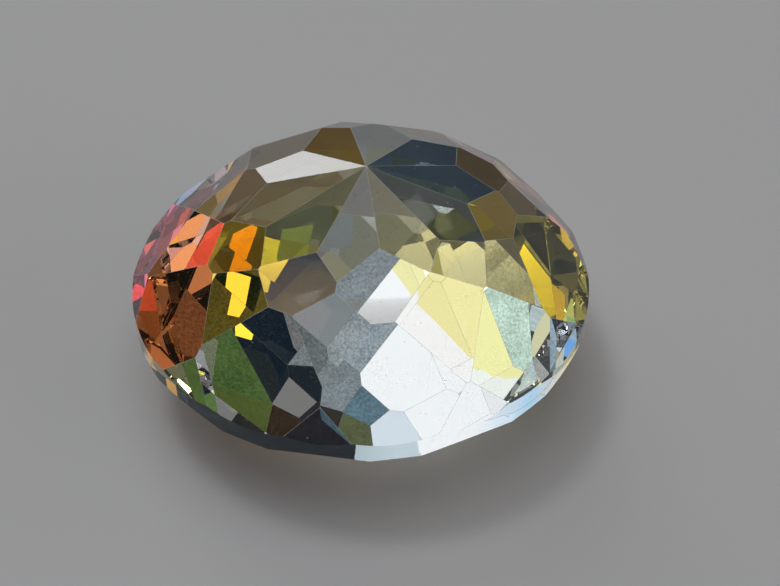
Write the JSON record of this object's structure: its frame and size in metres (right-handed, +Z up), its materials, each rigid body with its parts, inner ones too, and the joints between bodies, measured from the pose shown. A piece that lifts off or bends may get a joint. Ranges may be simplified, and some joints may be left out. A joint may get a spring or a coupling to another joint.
{
  "type": "faceted round quartz gemstone",
  "caption": "Large round stone of clear rainbow-coated quartz, cut with flat facets in tiers to a low point, with a polished girdle and a flat table it rests on.",
  "frame": {"origin": "middle of the girdle, on the surface that the stone rests on", "axes": "+Z up through the point; facet 0 faces -Y, and +X and +Y have no other meaning on a round stone"},
  "size_m": [0.02, 0.02, 0.0109],
  "materials": {
    "rainbow_quartz": "clear polished quartz with a rainbow coating, see-through, glossy flat facets"
  },
  "bodies": {
    "root": {"quartz_stone": "rainbow_quartz"}
  },
  "joints": []
}
